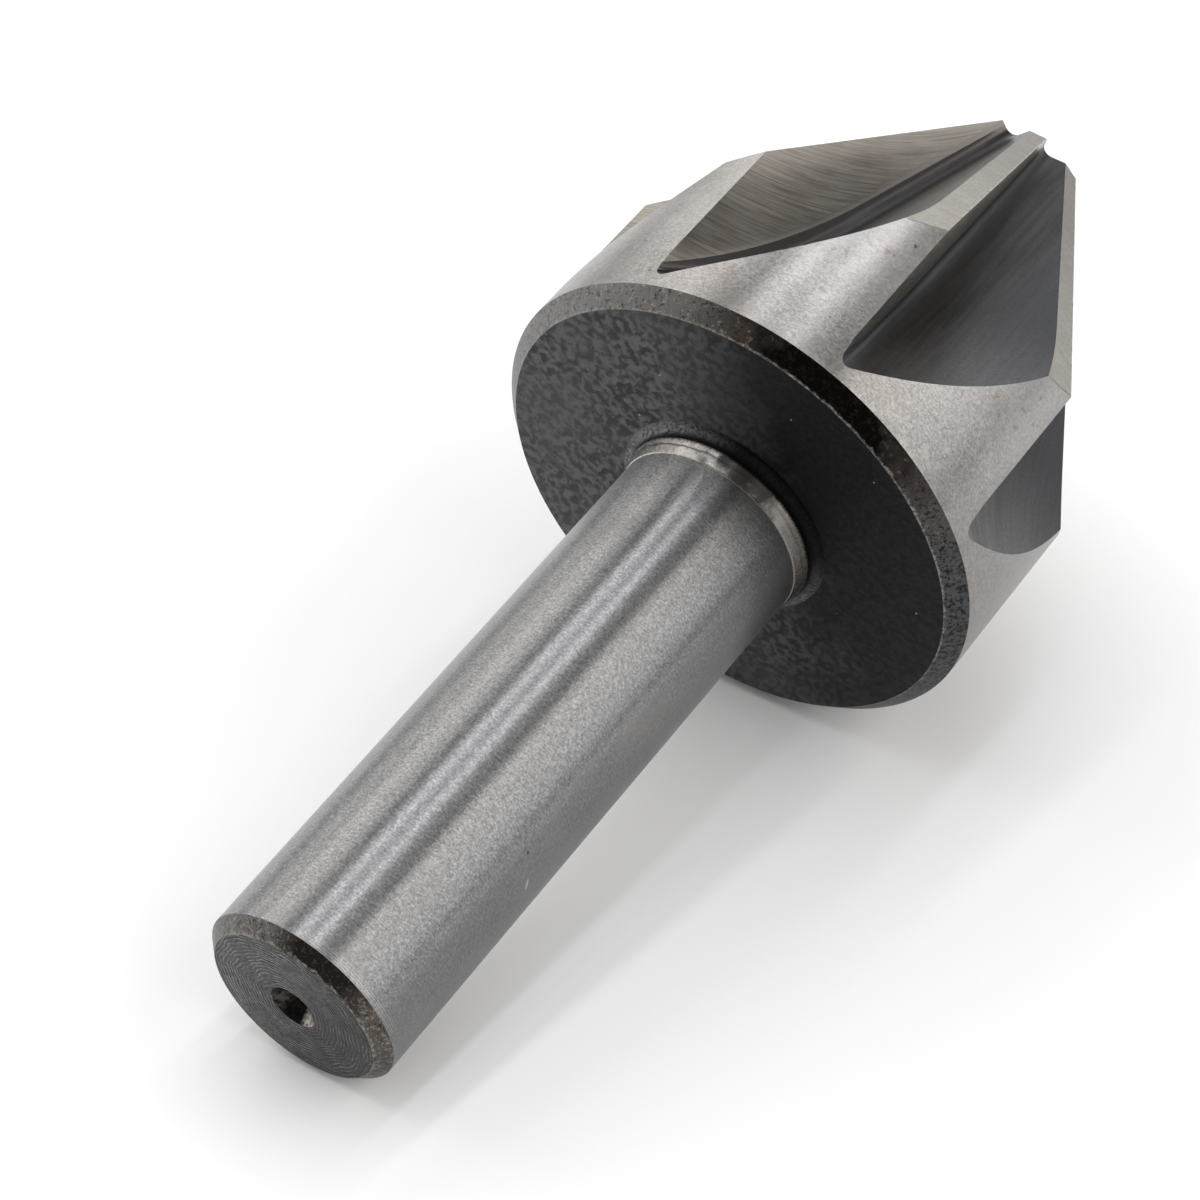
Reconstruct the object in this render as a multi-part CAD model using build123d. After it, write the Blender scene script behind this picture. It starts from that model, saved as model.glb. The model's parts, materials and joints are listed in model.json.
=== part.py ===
from build123d import *
import os
from math import radians, sqrt, tan

# A chamfer mill, turned, milled and ground from one bar of tool steel.
# The origin is the centre of the shank's end face. +Z runs up the axis to the nose.
# Tooth 0 has its cutting edge in the XZ plane, on the +X side, and its rake face looks to +Y.
# All sizes are in millimetres and degrees.

# Whole tool
overall_length = 75.2

# Shank
shank_diameter = 12.0
shank_length = 40.8
shank_end_chamfer = 0.8

# Root of the shank, where the grinding wheel stops short of the head
root_land_length = 1.75
root_land_rise = 0.3
root_fillet_radius = 0.7

# Head
head_diameter = 32.0
head_cylinder_length = 14.0
back_chamfer = 1.1
cone_angle = 60.0

# Teeth, with the relief ground a hair below the turned cone at each cutting edge
tooth_count = 8
relief_angle = 16.5
relief_bite = 0.02

# Milled flutes, one in front of each tooth
flute_angle = 70.0
flute_root_fillet = 0.65
flute_slope_angle = 15.5
flute_core_diameter = 6.26
flute_cutter_diameter = 80.0
flute_back_land = 2.1

# Ground rake faces, a hair behind the milled walls, with a small bevelled step at their foot
rake_bite = 0.1
rake_step_height = 0.45
rake_slope_angle = 16.3
rake_step_diameter_at_nose = 7.74
rake_wheel_diameter = 120.0
rake_back_land = 3.15

# Centre holes in both ends
centre_mouth_diameter = 2.9
centre_pilot_diameter = 1.6
centre_cone_angle = 60.0
centre_pilot_length = 1.9
drill_point_angle = 118.0

# Values worked out from the sizes above
shank_radius = shank_diameter / 2
root_radius = shank_radius + root_land_rise
head_radius = head_diameter / 2
cone_half_angle = cone_angle / 2
cone_start = shank_length + head_cylinder_length
cone_length = overall_length - cone_start
nose_radius = head_radius - cone_length * tan(radians(cone_half_angle))
clear_of_head = head_radius


def leaning_inwards(direction, angle):
    """A direction in the XZ plane after it leans from +Z towards -X."""
    return Vector(direction).rotate(Axis.Y, -angle)


def turned_blank():
    """The bar as it leaves the lathe and the cylindrical grinder."""
    ground_end = shank_length - root_land_length
    collar_start = ground_end + root_land_rise
    collar_end = shank_length - root_fillet_radius
    with BuildPart() as blank:
        with BuildSketch(Plane.XZ):
            with BuildLine():
                Polyline(
                    (0, 0),
                    (shank_radius - shank_end_chamfer, 0),
                    (shank_radius, shank_end_chamfer),
                    (shank_radius, ground_end),
                )
                RadiusArc((shank_radius, ground_end), (root_radius, collar_start), root_land_rise)
                Line((root_radius, collar_start), (root_radius, collar_end))
                RadiusArc(
                    (root_radius, collar_end),
                    (root_radius + root_fillet_radius, shank_length),
                    root_fillet_radius,
                )
                Polyline(
                    (root_radius + root_fillet_radius, shank_length),
                    (head_radius - back_chamfer, shank_length),
                    (head_radius, shank_length + back_chamfer),
                    (head_radius, cone_start),
                    (nose_radius, overall_length),
                    (0, overall_length),
                    (0, 0),
                )
            make_face()
        revolve(axis=Axis.Z)
    return blank.part


def centre_hole():
    """A centre hole that opens at the origin and runs up the axis."""
    mouth = centre_mouth_diameter / 2
    pilot = centre_pilot_diameter / 2
    cone_depth = (mouth - pilot) / tan(radians(centre_cone_angle / 2))
    pilot_end = cone_depth + centre_pilot_length
    point_end = pilot_end + pilot / tan(radians(drill_point_angle / 2))
    with BuildPart() as hole:
        with BuildSketch(Plane.XZ):
            with BuildLine():
                Polyline((0, 0), (mouth, 0), (pilot, cone_depth), (pilot, pilot_end), (0, point_end), (0, 0))
            make_face()
        revolve(axis=Axis.Z)
    return hole.part


def wheel_pass(section, slope, bottom_diameter_at_nose, wheel_diameter, back_land):
    """The space a wheel clears: a straight run out past the nose, and a rise out at the back.

    The section's X runs across the flute and its Y out of it, with the wheel's rim at Y = 0.
    """
    wheel_radius = wheel_diameter / 2
    along = leaning_inwards((0, 0, 1), slope)
    outward = leaning_inwards((1, 0, 0), slope)
    across = Vector(0, 1, 0)
    at_nose = Vector(bottom_diameter_at_nose / 2, 0, overall_length)
    at_exit = Vector(head_radius, 0, shank_length + back_land)
    way_out = at_exit - at_nose
    depth_left = way_out.dot(outward)
    rise_length = sqrt(2 * wheel_radius * depth_left - depth_left**2)
    turning_point = at_nose + along * (way_out.dot(along) + rise_length)
    centre = turning_point + outward * wheel_radius
    placed = Plane(turning_point, x_dir=across, z_dir=-along) * section
    straight = extrude(placed, amount=overall_length - turning_point.Z + clear_of_head, dir=along)
    rise = revolve(placed, axis=Axis(centre, -across), revolution_arc=(90 - slope) / 2)
    return straight + rise


def flute():
    """The milled chip space in front of tooth 0: a steep wall, a round root and a broad back."""
    corner_depth = flute_root_fillet * (1 / tan(radians(flute_angle / 2)) - 1)
    back_rise = head_radius / tan(radians(flute_angle))
    with BuildSketch() as section:
        with BuildLine():
            Polyline(
                (rake_bite, -corner_depth),
                (rake_bite, clear_of_head),
                (rake_bite + head_radius, clear_of_head),
                (rake_bite + head_radius, back_rise - corner_depth),
                (rake_bite, -corner_depth),
            )
        make_face()
        fillet(section.vertices().sort_by(SortBy.DISTANCE)[0], flute_root_fillet)
    return wheel_pass(
        section.sketch, flute_slope_angle, flute_core_diameter, flute_cutter_diameter, flute_back_land
    )


def rake_grinding():
    """The thin layer ground off the wall, down to the bevelled step above the root."""
    with BuildSketch() as section:
        with BuildLine():
            Polyline(
                (0, rake_step_height),
                (0, clear_of_head),
                (2 * rake_bite, clear_of_head),
                (2 * rake_bite, -rake_step_height),
                (0, rake_step_height),
            )
        make_face()
    return wheel_pass(
        section.sketch, rake_slope_angle, rake_step_diameter_at_nose, rake_wheel_diameter, rake_back_land
    )


def relief_grinding():
    """The wedge ground off behind tooth 0's cutting edge along the cone."""
    edge_middle = Vector((head_radius + nose_radius) / 2, 0, (cone_start + overall_length) / 2)
    along_edge = leaning_inwards((0, 0, 1), cone_half_angle)
    out_of_cone = leaning_inwards((1, 0, 0), cone_half_angle)
    out_of_land = out_of_cone.rotate(Axis((0, 0, 0), along_edge), -relief_angle)
    land = Plane(edge_middle - out_of_cone * relief_bite, x_dir=along_edge, z_dir=out_of_land)
    wedge = Box(
        2 * cone_length,
        head_radius,
        head_radius,
        align=(Align.CENTER, Align.CENTER, Align.MIN),
    )
    return land * wedge


shank_centre_hole = centre_hole()
nose_centre_hole = Pos(0, 0, overall_length) * Rot(180, 0, 0) * centre_hole()
tooth_cuts = [flute(), rake_grinding(), relief_grinding()]
all_tooth_cuts = [place * cut for place in PolarLocations(0, tooth_count) for cut in tooth_cuts]

chamfer_mill = turned_blank() - [shank_centre_hole, nose_centre_hole, *all_tooth_cuts]

os.makedirs("parts", exist_ok=True)
export_step(chamfer_mill, "parts/chamfer_mill.step")
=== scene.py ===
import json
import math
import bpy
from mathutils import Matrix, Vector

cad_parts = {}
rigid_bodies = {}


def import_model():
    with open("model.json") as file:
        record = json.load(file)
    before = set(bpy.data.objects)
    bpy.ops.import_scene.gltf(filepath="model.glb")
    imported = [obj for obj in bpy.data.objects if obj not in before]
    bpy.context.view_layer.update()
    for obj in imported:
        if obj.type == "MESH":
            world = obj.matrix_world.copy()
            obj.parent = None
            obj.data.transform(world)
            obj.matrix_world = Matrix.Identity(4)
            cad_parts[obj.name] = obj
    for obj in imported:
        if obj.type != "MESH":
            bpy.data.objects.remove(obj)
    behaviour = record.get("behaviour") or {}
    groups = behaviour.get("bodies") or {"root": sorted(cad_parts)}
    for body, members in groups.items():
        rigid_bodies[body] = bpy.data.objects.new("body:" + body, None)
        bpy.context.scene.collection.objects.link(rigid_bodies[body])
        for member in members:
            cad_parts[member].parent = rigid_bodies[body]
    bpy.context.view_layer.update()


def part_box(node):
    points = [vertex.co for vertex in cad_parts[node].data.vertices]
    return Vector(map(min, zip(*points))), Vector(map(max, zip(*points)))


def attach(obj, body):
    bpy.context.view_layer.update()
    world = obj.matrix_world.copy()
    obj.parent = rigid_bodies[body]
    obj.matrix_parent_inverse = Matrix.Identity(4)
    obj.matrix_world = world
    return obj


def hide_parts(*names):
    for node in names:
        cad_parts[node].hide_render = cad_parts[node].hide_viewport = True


bl_info = {
    "name": "Chamfer Mill",
    "version": (1, 0, 0),
    "blender": (4, 5, 0),
    "location": "View3D > Sidebar > Chamfer Mill",
    "description": "Makes a one-piece chamfer mill with a plain shank and eight ground teeth",
    "category": "Add Mesh",
}

import bmesh
import bpy
from bpy.props import FloatProperty, FloatVectorProperty, IntProperty, PointerProperty
from bpy.types import Operator, Panel, PropertyGroup
from mathutils import Euler, Matrix, Vector

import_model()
mill_low, mill_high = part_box("chamfer_mill")

MM = 0.001
FULL_TURN = 2 * math.pi

# Angles of the centre drill, from its axis
CENTRE_HALF_ANGLE = math.radians(30)
DRILL_HALF_ANGLE = math.radians(59)

# Steps of the rounded corners, and of a wheel's rise out of the work
EDGE_BREAK_STEPS = 3
FILLET_STEPS = 12
FLUTE_ROOT_STEPS = 16
WHEEL_RISE_STEPS = 30

# Vertices nearer than this are one, in metres: on a whole piece, and along a wheel's path
MERGE_DISTANCE = 1e-7
PATH_MERGE_DISTANCE = 1e-8

# An edge is sharp where its faces turn by more than this: inside one finish, and between two
SHARP_TURN = math.radians(22)
SHARP_TURN_BETWEEN_FINISHES = math.radians(9)

MILL = "chamfer_mill_ground"
FLOOR_ROUGHNESS = 0.9
FLOOR_SPECULAR = 0.1

# The camera's sensor in millimetres, and the nearest that it sees in metres
SENSOR_WIDTH = 36
NEAREST_SEEN = 0.01

# The grinding marks on a rake face are arcs round this point of the tooth's plane, in mm:
# its distance from the axis and its height above the shank's end.
RAKE_MARKS_CENTRE = (48.0, 94.0)

GROUND_SHANK = "ground_shank"
TURNED_END = "turned_end"
SCALED_END = "scaled_end_chamfer"
SCALED_BACK = "scaled_back_chamfer"
DRILLED_HOLE = "drilled_hole"
GROUND_COLLAR = "ground_collar"
GRAINY_ROOT = "grainy_root"
OXIDE_BACK = "oxide_back"
GROUND_HEAD = "ground_head"
GROUND_LAND = "ground_land"
GROUND_RAKE = "ground_rake"
MILLED_FLUTE = "milled_flute"


# ---------------------------------------------------------------- settings


def size_in_mm(name, description, millimetres):
    return FloatProperty(
        name=name, description=description, default=millimetres * MM, unit="LENGTH"
    )


def angle_in_degrees(name, description, degrees):
    return FloatProperty(
        name=name, description=description, default=math.radians(degrees), subtype="ANGLE"
    )


def base_colour(name, description, default):
    return FloatVectorProperty(
        name=name, description=description, default=default, size=3, subtype="COLOR"
    )


class ShankSizes(PropertyGroup):
    """Sizes of the plain shank and of its root under the head."""

    diameter: size_in_mm("Shank diameter", "Diameter of the part that a collet grips", 12.0)
    length: size_in_mm("Shank length", "From the shank's end to the head's back face", 40.8)
    end_chamfer: size_in_mm("End chamfer", "Chamfer round the shank's end", 0.8)
    collar_length: size_in_mm(
        "Collar length", "Length under the head that the grinding wheel leaves", 1.75
    )
    collar_rise: size_in_mm("Collar rise", "Height of the collar above the ground shank", 0.3)
    root_radius: size_in_mm("Root radius", "Fillet between the collar and the head's back face", 0.7)
    hole_mouth: size_in_mm("Centre hole mouth", "Diameter of the centre hole where it opens", 2.9)
    hole_pilot: size_in_mm("Centre hole pilot", "Diameter of the drilled pilot behind the mouth", 1.6)
    hole_pilot_length: size_in_mm("Pilot length", "Straight length of the drilled pilot", 1.9)


class HeadSizes(PropertyGroup):
    """Sizes of the turned head."""

    diameter: FloatProperty(
        name="Head diameter",
        description="Diameter over the head's cylinder",
        default=mill_high.x - mill_low.x,
        unit="LENGTH",
    )
    overall_length: FloatProperty(
        name="Overall length",
        description="From the shank's end to the nose",
        default=mill_high.z - mill_low.z,
        unit="LENGTH",
    )
    cylinder_length: size_in_mm("Cylinder length", "From the back face to the start of the cone", 14.0)
    back_chamfer: size_in_mm("Back chamfer", "Chamfer round the back face", 1.1)
    cone_angle: angle_in_degrees("Cone angle", "Angle across the cone", 60.0)
    edge_break: size_in_mm("Edge break", "Tiny rounding left on turned edges", 0.05)
    steps: IntProperty(
        name="Turning steps",
        description="Steps round the axis",
        default=320,
        min=64,
    )


class ToothSizes(PropertyGroup):
    """Sizes of the wheels that cut the teeth, and of their paths."""

    count: IntProperty(name="Teeth", description="Number of teeth", default=8, min=2)
    relief_angle: angle_in_degrees("Relief angle", "Slope of the land behind each cutting edge", 16.5)
    relief_bite: size_in_mm("Relief bite", "Depth ground off the cone at the cutting edge", 0.02)
    flute_angle: angle_in_degrees("Flute angle", "Angle between a flute's wall and its back", 70.0)
    flute_root: size_in_mm("Flute root radius", "Radius at the bottom of a flute", 0.65)
    flute_slope: angle_in_degrees("Flute slope", "Angle between a flute's bottom and the axis", 15.5)
    flute_core: size_in_mm("Core diameter", "Diameter over the flutes' bottoms at the nose", 6.26)
    flute_cutter: size_in_mm("Flute cutter diameter", "Diameter of the milling cutter", 80.0)
    flute_back_land: size_in_mm("Flute back land", "Length of cylinder left behind a flute", 2.1)
    rake_bite: size_in_mm("Rake bite", "Thickness ground off the flute's wall", 0.1)
    rake_step: size_in_mm("Rake step", "Height of half the bevelled step under the ground face", 0.45)
    rake_slope: angle_in_degrees(
        "Rake slope", "Angle between the grinding wheel's path and the axis", 16.3
    )
    rake_core: size_in_mm("Rake step diameter", "Diameter over the steps at the nose", 7.74)
    rake_wheel: size_in_mm("Rake wheel diameter", "Diameter of the grinding wheel", 120.0)
    rake_back_land: size_in_mm("Rake back land", "Length of cylinder left behind the ground face", 3.15)


class FinishColours(PropertyGroup):
    """Base colours of the finishes."""

    ground_steel: base_colour("Ground steel", "Bright ground steel", (0.281, 0.28, 0.28))
    oxide: base_colour("Oxide", "Dark oxide left by hardening", (0.07, 0.07, 0.073))
    scale: base_colour("Brown scale", "Brownish scale on the chamfers", (0.075, 0.062, 0.052))


class StudioSettings(PropertyGroup):
    """The floor, the lamps and the camera."""

    floor_turn: angle_in_degrees(
        "Floor turn", "Turn of the floor's upward direction round the mill's axis", -27.3
    )
    floor_tilt: angle_in_degrees(
        "Floor tilt", "Tilt at which the shank's end and the head both touch the floor", 13.67
    )
    floor_size: FloatProperty(
        name="Floor size",
        description="Width of the floor",
        default=12.0,
        unit="LENGTH",
    )
    floor_colour: base_colour("Floor colour", "Colour of the pale floor", (0.93, 0.93, 0.93))
    pale_side: FloatProperty(
        name="Pale side of the room",
        description="Strength of the pale room on the shank's side",
        default=0.8,
        min=0.0,
    )
    dim_side: FloatProperty(
        name="Dim side of the room",
        description="Strength of the dim room on the nose's side",
        default=0.03,
        min=0.0,
    )
    camera_place: FloatVectorProperty(
        name="Camera place",
        description="Where the camera stands",
        default=(0.1636643, 0.0102577, -0.0669684),
        size=3,
        subtype="TRANSLATION",
        precision=5,
    )
    camera_turn: FloatVectorProperty(
        name="Camera turn",
        description="How the camera is turned",
        default=(math.radians(128.57789), math.radians(-34.71186), math.radians(69.89121)),
        size=3,
        subtype="EULER",
    )
    focal_length: FloatProperty(
        name="Focal length",
        description="The camera's focal length on a 36 mm sensor, in mm",
        default=100.665,
        min=1.0,
    )


# ---------------------------------------------------------------- shader building


class Finish:
    """A node material under construction."""

    # A quarter turn of the highlight, in whole turns, sets it across the tangent.
    ACROSS = 0.25

    def __init__(self, name):
        self.material = bpy.data.materials.new(name)
        self.material.use_nodes = True
        self.tree = self.material.node_tree
        self.shader = self.tree.nodes["Principled BSDF"]

    def node(self, kind, **settings):
        made = self.tree.nodes.new(kind)
        for key, value in settings.items():
            setattr(made, key, value)
        return made

    def put(self, socket, value):
        """Links an output to a socket, or sets the socket's own value."""
        if isinstance(value, bpy.types.NodeSocket):
            self.tree.links.new(value, socket)
        else:
            socket.default_value = value

    def place(self, scale=(1, 1, 1)):
        """Object coordinates in millimetres, stretched by scale."""
        coords = self.node("ShaderNodeTexCoord").outputs["Object"]
        return self.stretch(coords, tuple(s / MM for s in scale))

    def tooth_place(self):
        """Millimetres in the frame of the tooth that the face belongs to."""
        coords = self.node("ShaderNodeAttribute", attribute_name="tooth_place")
        return self.stretch(coords.outputs["Vector"], (1 / MM,) * 3)

    def stretch(self, vector, scale):
        mapping = self.node("ShaderNodeMapping")
        self.put(mapping.inputs["Vector"], vector)
        mapping.inputs["Scale"].default_value = scale
        return mapping.outputs["Vector"]

    def turned(self, vector, angles):
        mapping = self.node("ShaderNodeMapping")
        self.put(mapping.inputs["Vector"], vector)
        mapping.inputs["Rotation"].default_value = angles
        return mapping.outputs["Vector"]

    def joined(self, x=0.0, y=0.0, z=0.0):
        made = self.node("ShaderNodeCombineXYZ")
        for socket, value in zip(made.inputs, (x, y, z)):
            self.put(socket, value)
        return made.outputs[0]

    def warped(self, vector, scale, amount):
        """The vector pushed about by noise, so that shapes drawn on it are uneven."""
        noise = self.node("ShaderNodeTexNoise")
        self.put(noise.inputs["Vector"], vector)
        noise.inputs["Scale"].default_value = scale
        push = self.node("ShaderNodeVectorMath", operation="MULTIPLY_ADD")
        self.put(push.inputs[0], noise.outputs["Color"])
        push.inputs[1].default_value = (amount,) * 3
        self.put(push.inputs[2], vector)
        return push.outputs[0]

    def along_wheel(self, place, path):
        """Depth from the wheel's rim and run along its path, in millimetres."""
        x, _, z = self.parts(place)
        dx = self.minus(x, path.turning.x / MM)
        dz = self.minus(z, path.turning.z / MM)
        run = self.plus(self.times(dx, path.along.x), self.times(dz, path.along.z))
        rise = self.plus(self.times(dx, path.outward.x), self.times(dz, path.outward.z))
        behind = self.maths("MINIMUM", run, 0.0)
        radius = path.radius / MM
        depth = self.minus(radius, self.hypotenuse(behind, self.minus(radius, rise)))
        return depth, run

    def noise(self, vector, scale, detail=2.0, roughness=0.5):
        made = self.node("ShaderNodeTexNoise")
        self.put(made.inputs["Vector"], vector)
        made.inputs["Scale"].default_value = scale
        made.inputs["Detail"].default_value = detail
        made.inputs["Roughness"].default_value = roughness
        return made.outputs["Fac"]

    def spots(self, vector, scale):
        """Distance to the nearest of many scattered points."""
        made = self.node("ShaderNodeTexVoronoi")
        self.put(made.inputs["Vector"], vector)
        made.inputs["Scale"].default_value = scale
        return made.outputs["Distance"]

    def maths(self, operation, *values):
        made = self.node("ShaderNodeMath", operation=operation)
        for socket, value in zip(made.inputs, values):
            self.put(socket, value)
        return made.outputs[0]

    def plus(self, first, second):
        return self.maths("ADD", first, second)

    def minus(self, first, second):
        return self.maths("SUBTRACT", first, second)

    def times(self, first, second):
        return self.maths("MULTIPLY", first, second)

    def parts(self, vector):
        made = self.node("ShaderNodeSeparateXYZ")
        self.put(made.inputs[0], vector)
        return made.outputs

    def radius(self, vector):
        x, y, _ = self.parts(vector)
        return self.hypotenuse(x, y)

    def hypotenuse(self, one, other):
        return self.maths("SQRT", self.plus(self.times(one, one), self.times(other, other)))

    def towards(self, place, degrees):
        """How far a place lies towards a direction round the axis, in millimetres."""
        turn = math.radians(degrees)
        x, y, _ = self.parts(place)
        return self.plus(self.times(x, math.cos(turn)), self.times(y, math.sin(turn)))

    def facing(self, place, degrees):
        """The cosine of the angle round the axis between a place and a direction."""
        return self.maths("DIVIDE", self.towards(place, degrees), self.radius(place))

    def waves(self, value, pitch):
        """A wave from -1 to 1 that repeats at this pitch."""
        return self.maths("SINE", self.times(value, FULL_TURN / pitch))

    def between(self, value, low, high, start=0.0, end=1.0):
        """Value moved from the range low..high to start..end, clamped."""
        made = self.node("ShaderNodeMapRange", clamp=True)
        for socket, number in zip(made.inputs, (value, low, high, start, end)):
            self.put(socket, number)
        return made.outputs[0]

    def line(self, value, middle, half_width):
        """1 on the line where value is middle, falling to 0 at half_width from it."""
        off = self.maths("ABSOLUTE", self.minus(value, middle))
        return self.between(off, 0.0, half_width, 1.0, 0.0)

    def mix(self, factor, first, second):
        made = self.node("ShaderNodeMix", data_type="RGBA")
        self.put(made.inputs[0], factor)
        for socket, value in ((made.inputs[6], first), (made.inputs[7], second)):
            if not isinstance(value, bpy.types.NodeSocket):
                value = (*value[:3], 1.0)
            self.put(socket, value)
        return made.outputs[2]

    def over(self, colour, top, value, low, high, start=0.0, end=1.0):
        """The colour with another laid over it, from start to end as value goes from low to high."""
        return self.mix(self.between(value, low, high, start, end), colour, top)

    def bump(self, height, strength, distance, below=None):
        made = self.node("ShaderNodeBump")
        self.put(made.inputs["Height"], height)
        made.inputs["Strength"].default_value = strength
        made.inputs["Distance"].default_value = distance * MM
        if below is not None:
            self.put(made.inputs["Normal"], below)
        return made.outputs["Normal"]

    def done(self, colour, roughness, normal, metallic=1.0):
        """The finished material."""
        self.put(self.shader.inputs["Base Color"], colour)
        self.put(self.shader.inputs["Roughness"], roughness)
        self.put(self.shader.inputs["Normal"], normal)
        self.shader.inputs["Metallic"].default_value = metallic
        return self.material

    def ground_round_the_axis(self, anisotropic):
        """Highlights drawn out along the axis, as by fine marks that run round it."""
        tangent = self.node("ShaderNodeTangent", direction_type="RADIAL", axis="Z")
        self.put(self.shader.inputs["Tangent"], tangent.outputs["Tangent"])
        self.shader.inputs["Anisotropic"].default_value = anisotropic
        self.shader.inputs["Anisotropic Rotation"].default_value = self.ACROSS


def shade(colour, factor):
    return tuple(c * factor for c in colour)


def grey(value):
    return (value,) * 3


def scattered_pits(f, spacing, size):
    """Small ragged pits, one in each cell of the given spacing in millimetres."""
    ragged = f.warped(f.place(), 6.0, 0.12)
    return f.between(f.spots(ragged, 1 / spacing), 0.6 * size / spacing, size / spacing, 1.0, 0.0)


def light_scratches(f, turn, spacing):
    """A few fine scratches of handling, all lying about one way."""
    laid = f.turned(f.warped(f.place(), 0.5, 0.5), turn)
    lying = f.stretch(laid, (0.12 / spacing, 1 / spacing, 1 / spacing))
    return f.between(f.spots(lying, 1.0), 0.015, 0.03, 1.0, 0.0)


# In the finishes below, heights and widths are in millimetres, directions round the axis are in
# degrees from +X, and a noise is given its scale, its detail and its roughness.


def ground_shank_finish(scene):
    steel = tuple(scene.mill_colours.ground_steel)
    sizes = scene.mill_shank
    run_out = (sizes.length - sizes.collar_length) / MM
    chamfer = sizes.end_chamfer / MM
    stain = (0.25, 0.24, 0.228)
    fresh_scratch = (0.62, 0.62, 0.62)
    bright_corner = (0.6, 0.57, 0.52)
    f = Finish(GROUND_SHANK)
    place = f.place()
    height = f.parts(place)[2]
    dashes = f.noise(f.place((3.8, 3.8, 8.0)), 1.0, 3.0, 0.7)
    grain = f.noise(place, 8.0, 2.0, 0.7)
    stains = f.noise(place, 0.3, 4.0, 0.6)
    pits = scattered_pits(f, spacing=4.0, size=0.14)
    scratches = f.maths(
        "MAXIMUM",
        light_scratches(f, (0.3, 0.9, 0.2), spacing=3.6),
        light_scratches(f, (1.1, -0.5, 0.8), spacing=4.4),
    )
    # Painted light: near the head the steel is drawn lighter on the side towards -48 degrees.
    near_head = f.between(height, run_out - 6.0, run_out - 1.0)
    painted_light_near_head = f.times(near_head, f.between(f.facing(place, -48), 0.6, 0.95))
    # Painted shade: near the head the steel is drawn darker on the side towards 12 degrees.
    painted_shade = f.between(height, run_out - 3.5, run_out, 0.0, 0.75)
    painted_shade = f.times(painted_shade, f.between(f.facing(place, 12), 0.82, 0.97))
    # Real turning marks by the shank's end, drawn bright only on the side towards 18 degrees as a
    # painted highlight on them.
    near_end = f.between(height, chamfer + 0.4, chamfer + 0.7, 1.0, 0.0)
    near_end = f.times(near_end, f.between(f.facing(place, 18), 0.7, 0.95))
    turned_lines = f.between(f.waves(height, 0.15), 0.2, 1.0, 0.0, 0.3)
    painted_light_steel = f.mix(f.between(dashes, 0.34, 0.68), shade(steel, 1.5), shade(steel, 2.6))
    colour = f.mix(f.between(dashes, 0.34, 0.68), shade(steel, 0.68), shade(steel, 1.34))
    colour = f.mix(painted_light_near_head, colour, painted_light_steel)
    colour = f.over(colour, shade(steel, 0.45), grain, 0.5, 0.7, 0.0, 0.7)
    colour = f.over(colour, shade(steel, 1.9), grain, 0.3, 0.42, 0.6, 0.0)
    # Painted shade: the flank towards 76 degrees and round to 110 degrees is drawn darker.
    colour = f.over(colour, shade(steel, 0.42), f.facing(place, 76), 0.72, 0.85, 0.0, 0.6)
    colour = f.over(colour, shade(steel, 0.35), f.facing(place, 110), 0.72, 0.95, 0.0, 0.5)
    colour = f.over(colour, stain, stains, 0.45, 0.75, 0.0, 0.35)
    colour = f.mix(painted_shade, colour, shade(steel, 0.22))
    colour = f.mix(f.times(scratches, 0.6), colour, fresh_scratch)
    colour = f.mix(f.times(pits, 0.8), colour, shade(steel, 0.2))
    colour = f.mix(f.times(f.line(height, run_out, 0.07), 0.7), colour, bright_corner)
    colour = f.mix(f.times(near_end, turned_lines), colour, shade(steel, 2.2))
    normal = f.bump(dashes, 0.4, 0.01)
    normal = f.bump(grain, 0.35, 0.014, normal)
    f.ground_round_the_axis(0.84)
    return f.done(colour, f.between(dashes, 0.3, 0.7, 0.29, 0.37), normal)


def turned_end_finish(scene):
    tool_feed = 0.23
    f = Finish(TURNED_END)
    place = f.place()
    wander = f.noise(place, 0.33, 2.0, 0.5)
    wobble = f.noise(place, 0.8, 2.0, 0.5)
    spiral = f.plus(f.radius(place), f.times(wander, 1.2))
    spiral = f.plus(spiral, f.times(wobble, 0.28))
    ridges = f.waves(spiral, tool_feed)
    broad = f.noise(f.joined(f.times(spiral, 2.0)), 1.0, 3.0, 0.6)
    grain = f.noise(place, 4.5, 4.0, 0.8)
    patches = f.noise(place, 0.9, 3.0, 0.6)
    crests = f.times(f.between(ridges, 0.55, 1.0), f.between(patches, 0.42, 0.6, 0.04, 1.0))
    crests = f.times(crests, f.between(grain, 0.35, 0.6, 0.3, 1.0))
    colour = f.mix(f.between(grain, 0.38, 0.64), grey(0.014), (0.12, 0.118, 0.116))
    colour = f.over(colour, grey(0.03), broad, 0.42, 0.6, 0.0, 0.55)
    colour = f.mix(crests, colour, (0.36, 0.355, 0.345))
    # Painted shade: the end face is drawn darker on the side towards 70 degrees.
    colour = f.over(colour, grey(0.012), f.facing(place, 70), 0.1, 0.9, 0.0, 0.3)
    normal = f.bump(ridges, 0.4, 0.03)
    normal = f.bump(grain, 0.5, 0.04, normal)
    return f.done(colour, 0.42, normal)


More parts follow.
